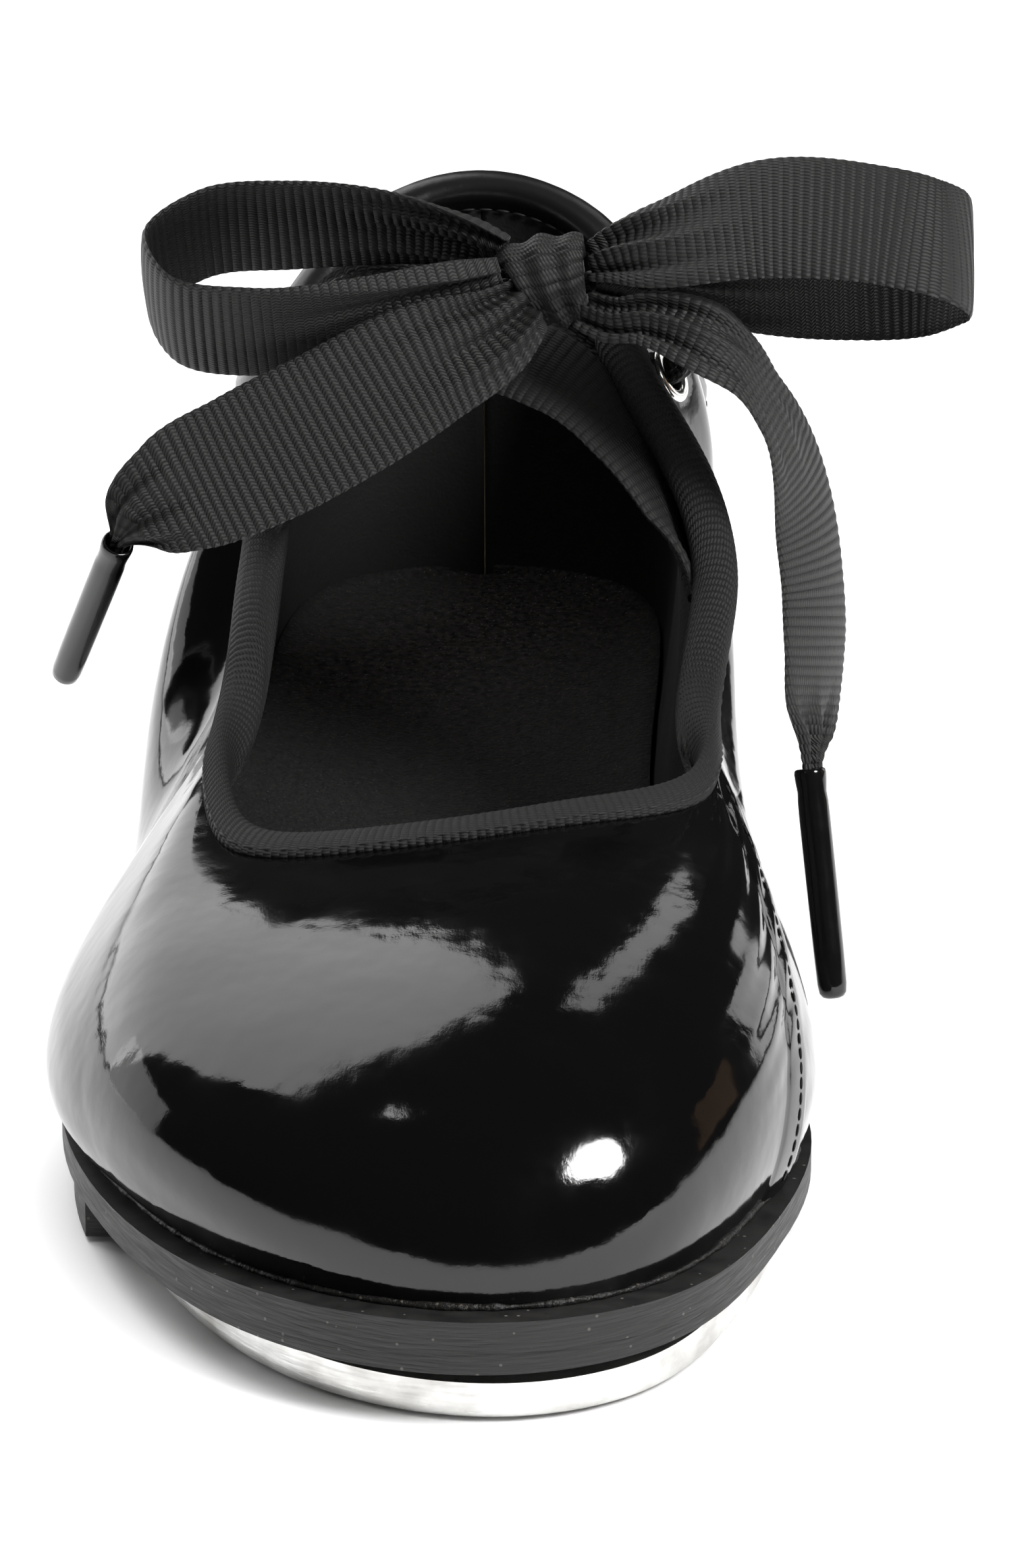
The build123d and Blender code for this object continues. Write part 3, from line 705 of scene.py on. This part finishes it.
# ---- eyelets ---------------------------------------------------------------------------
# Nickel-plated tubular eyelets, one through each tab: a rolled flange outside, a barrel and
# a crimped collar inside.
LATERAL_EYELET, MEDIAL_EYELET = (.297, .84), (.703, .84)    # station and height on the wall
nickel = Finish("nickel_plate", (.80, .79, .77), .14, Metallic=1.0)
nickel.put("Roughness", nickel.ramp(nickel.noise(900), .3, .7, .10, .24))


def eyelet(name, s, t, node):
    """Ring of revolution about the wall's normal, with its outline as (radius, outward)."""
    c, n, up = frame_at(s, t)
    side = np.cross(up, n)
    prof = np.array([(1.85, .9), (2.0, 1.15), (2.4, 1.3), (2.9, 1.2), (3.15, .95), (3.1, .72),
                     (2.6, .62), (2.2, .5), (2.2, -WALL - .3), (2.4, -WALL - .6),
                     (2.8, -WALL - .75), (2.8, -WALL - .95), (2.3, -WALL - 1.0), (1.85, -WALL - .6)])
    a = np.linspace(0, 2 * np.pi, 48, endpoint=False)[:, None, None]
    rings = c + (up * np.cos(a) + side * np.sin(a)) * prof[None, :, :1] + n * prof[None, :, 1:]
    piece = tube(name, rings, nickel, closed=True, caps=False)
    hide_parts(node)


eyelet("lateral_eyelet_ring", *LATERAL_EYELET, "lateral_eyelet")
eyelet("medial_eyelet_ring", *MEDIAL_EYELET, "medial_eyelet")

# ---- instep elastic --------------------------------------------------------------------
# Ribbed elastic webbing, sewn inside each quarter, arching over the instep under the bow.
RIBBON, WEAVE = 14.0, .55    # flat width and thickness of the ribbon
ACROSS = (0, .8, .6)         # direction of a strand's width over the instep


def along(knots, n):
    """Smooth open path through knots: position, width direction and width at n places."""
    k = np.array(knots, float)
    d = np.concatenate([[0], np.cumsum(np.linalg.norm(np.diff(k[:, :3], axis=0), axis=1))])
    total, d = d[-1], d / d[-1]
    m = np.gradient(k, d, axis=0)
    q = np.linspace(0, 1, n)
    i = np.clip(np.searchsorted(d, q, side="right") - 1, 0, len(d) - 2)
    w = (d[i + 1] - d[i])[:, None]
    t = (q - d[i])[:, None] / w
    x = ((2*t**3 - 3*t**2 + 1) * k[i] + (t**3 - 2*t**2 + t) * w * m[i]
         + (3*t**2 - 2*t**3) * k[i+1] + (t**3 - t**2) * w * m[i+1])
    return x[:, :3], unit(x[:, 3:6]), x[:, 6], total


def ribbon(name, knots, finish, slot, node, body="shoe", thick=WEAVE, flat=RIBBON, pitch=1.0,
           curl=.35, fold=1.0):
    """Woven strip along a path. Across it the strip is crowned by curl; where it is narrower
    than its flat width the surplus stands up in pleats; ribs and scalloped edges repeat
    with the weft pitch."""
    _, _, _, total = along(knots, 8)
    n = int(total / pitch * 5)
    p, wide, width, _ = along(knots, n)
    run = unit(np.gradient(p, axis=0))
    wide = unit(wide - run * np.sum(wide * run, axis=1, keepdims=True))
    face = np.cross(run, wide)
    x = np.linspace(-1, 1, 29)
    phase = np.linspace(0, total / pitch, n)[:, None]
    ribs = np.abs(np.sin(np.pi * phase)) * .10
    scallop = 1 + .012 * np.abs(np.sin(np.pi * phase))
    spare = np.clip((1 - width / flat) / .5, 0, 1)[:, None] ** 1.3 * fold
    pleat = spare * width[:, None] * (.11 * np.cos(x * 8 + .6) + .035 * np.cos(x * 19 + phase * .05))
    crown = curl * (1 - x ** 2) * (width[:, None] / flat)
    off = x * width[:, None] / 2 * scallop
    lens = (1 - np.abs(x) ** 10) ** .5
    up = (crown + pleat + (thick / 2 + ribs) * lens)[..., None]
    down = (crown + pleat - (thick / 2 + ribs) * lens)[..., None]
    spread = p[:, None] + wide[:, None] * off[..., None]
    rings = slabs(spread + face[:, None] * up, spread + face[:, None] * down)
    piece = tube(name, rings, finish, body=body)
    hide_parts(node)
    return piece, total


webbing = Finish("elastic_webbing", (.004, .004, .004), .75)
# Weave colours: painted shade for the hollows, painted sheen for the crests.
weave_on(webbing, .0011, .00045, (.0015, .0015, .0015), (.010, .0095, .009), .0003)
ribbon("instep_elastic_web",
       [(-21.5, -54, 44, .2, .8, .55, 9), (-18.2, -52, 52, .2, .8, .5, 10),
        (-12, -50.5, 61, .1, .85, .5, 11), (-5, -48.5, 66.5, 0, .88, .46, 12),
        (3, -47, 68.6, 0, .9, .44, 12), (10, -48.5, 66.5, 0, .88, .46, 12),
        (16.2, -50.5, 61, -.1, .8, .5, 11), (21.2, -53, 53.5, -.2, .72, .62, 10),
        (24.2, -56.5, 45.5, -.3, .65, .7, 9)],
       webbing, "elastic_webbing", "instep_elastic", thick=1.0, flat=12, pitch=1.1, curl=.2, fold=.3)

# ---- ribbon: loops, tails, strands and knot --------------------------------------------
# One length of 14 mm black grosgrain ribbon tied in a bow: two loops and two tails come out
# of the wrapped knot, and two gathered strands go down through the eyelets.
silk = Finish("grosgrain_ribbon", (.004, .004, .004), .62)
# Weave colours: painted shade for the hollows, painted sheen for the crests.
weave_on(silk, .001, .0004, (.0018, .0017, .0016), (.011, .0105, .010), .00025)
LEANS_BACK, LEANS_ON, SLANTS = (0, -.57, .82), (0, .75, .66), (-.5, .3, .8)   # width directions
LOOP_LATERAL = [(5, -49, 79.3, *LEANS_BACK, 5), (1, -48, 80.2, *LEANS_BACK, 8),
                (-6, -46, 81, *LEANS_BACK, 11.5), (-17, -45, 81, *LEANS_BACK, RIBBON),
                (-26, -46, 80.2, *LEANS_BACK, RIBBON), (-31, -50, 77.2, *LEANS_BACK, RIBBON),
                (-28.5, -54.5, 74, *LEANS_BACK, RIBBON), (-20, -56, 73, *LEANS_BACK, RIBBON),
                (-9, -54.8, 74.5, *LEANS_BACK, 11.5), (-1, -53.4, 76.6, *LEANS_BACK, 8),
                (4.5, -52.3, 78, *LEANS_BACK, 5)]
LOOP_MEDIAL = [(13.5, -50.5, 79, *LEANS_ON, 5), (17, -51.8, 80.6, *LEANS_ON, 8.5),
               (21, -53.4, 82, *LEANS_ON, 11), (31, -55, 85, *LEANS_ON, RIBBON),
               (42, -55, 84.5, *LEANS_ON, RIBBON), (49, -54, 82.5, *LEANS_ON, RIBBON),
               (51.2, -50.8, 80, *LEANS_ON, RIBBON), (48, -47.6, 77.2, *LEANS_ON, RIBBON),
               (39, -47, 76.3, *LEANS_ON, RIBBON), (29, -47.6, 76.4, *LEANS_ON, 12),
               (20, -48.2, 77.2, *LEANS_ON, 8), (14, -49, 77.8, *LEANS_ON, 5)]
TAIL_LATERAL = [(7.5, -53.4, 75.5, *SLANTS, 6), (4.5, -55.5, 73.4, *SLANTS, 9),
                (-3.3, -58.5, 70.2, *SLANTS, 12.8), (-12.5, -61, 65.4, *SLANTS, RIBBON),
                (-20.4, -63.5, 61.8, *SLANTS, RIBBON), (-27.6, -66, 58.9, *SLANTS, 12),
                (-31.8, -66.4, 56.2, *SLANTS, 7), (-33.0, -66.2, 54.6, *SLANTS, 2.6),
                (-33.9, -64.9, 52.4, *SLANTS, 2.0)]
TAIL_MEDIAL = [(13, -54, 75, .3, .6, .7, 4.5), (16, -56, 74.6, .3, .6, .7, 5.5),
               (19.5, -57.5, 75.2, .3, .62, .7, 6.5), (24.6, -59, 74, .3, .66, .66, 8.5),
               (28.4, -58, 71, .15, .85, .45, 9.5), (31, -56, 66.6, .15, .95, .2, 11),
               (33.4, -54, 61, .28, .95, .06, 13), (35.2, -53, 53.4, .40, .9, 0, RIBBON),
               (36.2, -54, 46.5, .42, .9, 0, RIBBON), (36.5, -56, 40.5, .42, .9, 0, RIBBON),
               (36.3, -58, 34.5, .42, .9, 0, 12), (36.2, -59.6, 29.8, .42, .9, 0, 4),
               (36.5, -61.2, 25.4, .42, .9, 0, 2.0)]


def moving(node, knots, **shape):
    """Loop or tail of the bow, on the body of its own name."""
    return ribbon(node + "_ribbon", knots, silk, "grosgrain", node, node, **shape)


lateral_loop, lateral_loop_length = moving("lateral_loop", LOOP_LATERAL)
medial_loop, medial_loop_length = moving("medial_loop", LOOP_MEDIAL)
lateral_tail, lateral_tail_length = moving("lateral_tail", TAIL_LATERAL)
medial_tail, medial_tail_length = moving("medial_tail", TAIL_MEDIAL, curl=.9)


def strand(name, eyelet_at, lead):
    """Strand from the knot down through an eyelet, to just inside the lining."""
    c, n, up = frame_at(*eyelet_at)
    w = np.cross(n, up)
    w = w if w[1] > 0 else -w
    through = [(*(c + n * r), *w, 3.2) for r in (2.4, -WALL - 2.2)]
    ribbon(name + "_ribbon", lead + through, silk, "grosgrain", name)


def behind(eyelet_at):
    c, n, _ = frame_at(*eyelet_at)
    return c - n * (WALL + 3.0)


strand("lateral_strand", LATERAL_EYELET, [(6, -48.5, 75, *ACROSS, 6), (-4, -44.8, 74, *ACROSS, 7),
                                          (-11, -42.6, 73.8, *ACROSS, 6)])
strand("medial_strand", MEDIAL_EYELET, [(13, -48.5, 75, *ACROSS, 5), (18.5, -44.5, 74.9, *ACROSS, 6)])
UNDER = [(*behind(LATERAL_EYELET), 0, 1, 0, 3), (-4, -37, 66.6, *ACROSS, 7), (3, -35.5, 68.4, *ACROSS, 7),
         (11, -37, 66.6, *ACROSS, 7), (*behind(MEDIAL_EYELET), 0, 1, 0, 3)]
ribbon("under_strand_ribbon", UNDER, silk, "grosgrain", "under_strand")

# The knot is a wrap round the axis KNOT_AXIS: its radius and width swell and pinch round it.
KNOT = np.array((9.3, -49.5, 77.8))
KNOT_AXIS, KNOT_UP, KNOT_FRONT = (unit(np.array(d)) for d in (
    (.93, -.1, .25), (-.25, -.62, .80), (.1, -.80, -.60)))
a = np.linspace(0, 2 * np.pi, 260, endpoint=False)[:, None]
x = np.linspace(-1, 1, 33)[None]
radius = (4.6 + 1.1 * np.sin(a - .6) - .9 * np.abs(x) ** 2.4 + .28 * np.cos(x * 8 + 1.2 * np.sin(a))
          + .10 * np.abs(np.sin(a * 17)))
span = (3.6 + 1.1 * np.sin(a + 2.2)) * x


def knot_skin(up, front, axial):
    """Points round the axis at given reaches along the knot's two radial directions."""
    return (KNOT + KNOT_UP * (np.cos(a) * up)[..., None] + KNOT_FRONT * (np.sin(a) * front)[..., None]
            + KNOT_AXIS * axial[..., None])


knot_rings = slabs(knot_skin(radius * 1.18, radius * .86, span + .6 * np.sin(a)),
                   knot_skin(radius * .25 + 0 * x, radius * .25 + 0 * x, span * .86))
knot = tube("knot_wrap_ribbon", knot_rings, silk, closed=True, caps=False)
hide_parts("ribbon_knot")

# ---- aglets ----------------------------------------------------------------------------
# Moulded glossy black plastic tubes crimped over the gathered ribbon ends.
plastic = Finish("aglet_plastic", (.003, .003, .003), .12)
plastic.put("Roughness", plastic.ramp(plastic.noise(400, 3), .3, .7, .08, .2))
AGLET = [(1.1, 1.6), (1.15, .5), (1.3, .1), (1.45, 0), (1.6, .15), (1.66, .5), (1.62, 1.2), (1.5, 2.4),
         (1.58, 3.4), (1.6, 5), (1.6, 9), (1.58, 14), (1.55, 19), (1.5, 22), (1.38, 22.9), (1.1, 23.3),
         (.6, 23.5), (.02, 23.5)]    # radius and distance from the mouth


def aglet(name, start, way, node, body):
    """Tube of revolution with a flared mouth, a slight crimp and a rounded tip."""
    d = unit(np.array(way, float))
    side = unit(np.cross(d, [0, 1, .3]))
    other = np.cross(d, side)
    skin = np.array(AGLET, float)
    core = np.stack([np.full(len(skin), .01), np.linspace(22, 2.4, len(skin))], -1)
    outline = np.concatenate([skin, core])[None]
    a = np.linspace(0, 2 * np.pi, 40, endpoint=False)[:, None, None]
    around = side * np.cos(a) + other * np.sin(a)
    rings = np.array(start) + around * outline[..., :1] + d * outline[..., 1:]
    piece = tube(name, rings, plastic, body=body, closed=True, caps=False)
    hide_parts(node)
    return piece


lateral_tip = aglet("lateral_aglet_tube", (-33.2, -66, 54), (-7.1, 12.3, -18.7),
                    "lateral_aglet", "lateral_tail")
medial_tip = aglet("medial_aglet_tube", (36.2, -60, 28.6), (2.7, -8.1, -21.8),
                   "medial_aglet", "medial_tail")

# ---- floor -----------------------------------------------------------------------------
# Plain white table. Its front edge is 20 cm ahead of the toe, so that the low front of the
# vamp mirrors the dark room and not the table.
paper = Finish("white_table", (.88, .88, .88), .9)
floor_mesh = bpy.data.meshes.new("table")
HALF, FRONT, DROP = 3.0, -.36, -.0002
corners = [(-HALF, FRONT, DROP), (HALF, FRONT, DROP), (HALF, HALF, DROP), (-HALF, HALF, DROP)]
floor_mesh.from_pydata(corners, [], [(0, 1, 2, 3)])
floor_mesh.materials.append(paper.material)
table = bpy.data.objects.new("table", floor_mesh)
bpy.context.scene.collection.objects.link(table)

bpy.context.view_layer.update()
